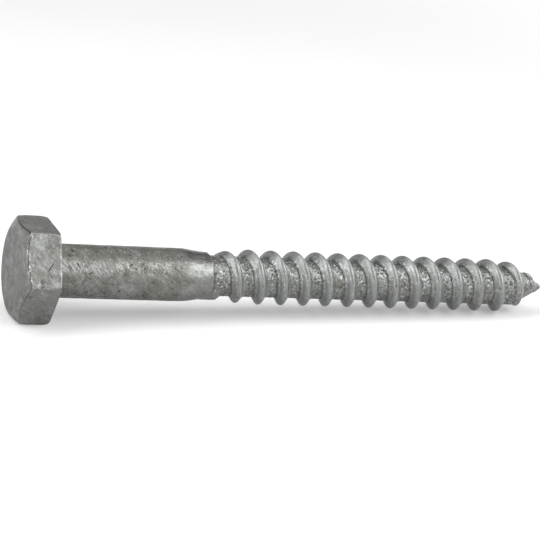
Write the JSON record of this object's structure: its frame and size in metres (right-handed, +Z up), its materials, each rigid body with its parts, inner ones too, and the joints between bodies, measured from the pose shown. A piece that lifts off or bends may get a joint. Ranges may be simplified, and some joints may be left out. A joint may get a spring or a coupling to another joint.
{
  "type": "coach screw",
  "caption": "Galvanised hexagon-head coach screw with a plain shank, a coarse wood thread and a cone point, lying at rest.",
  "frame": {"origin": "centre of the underside of the head, on the screw's axis", "axes": "+X from the head towards the point, level; +Z up, square to the surface the screw lies on; +Y completes a right-handed frame. The screw's axis lies in the XZ plane, 2.19 degrees below +X at the point"},
  "size_m": [0.1058, 0.0192, 0.017],
  "materials": {
    "galvanised_zinc": "hot-dip galvanised zinc on steel: dull mottled grey, smooth on the head and shank, rougher and pitted between the turns of the thread"
  },
  "bodies": {
    "root": {"coach_screw": "galvanised_zinc"}
  },
  "joints": []
}
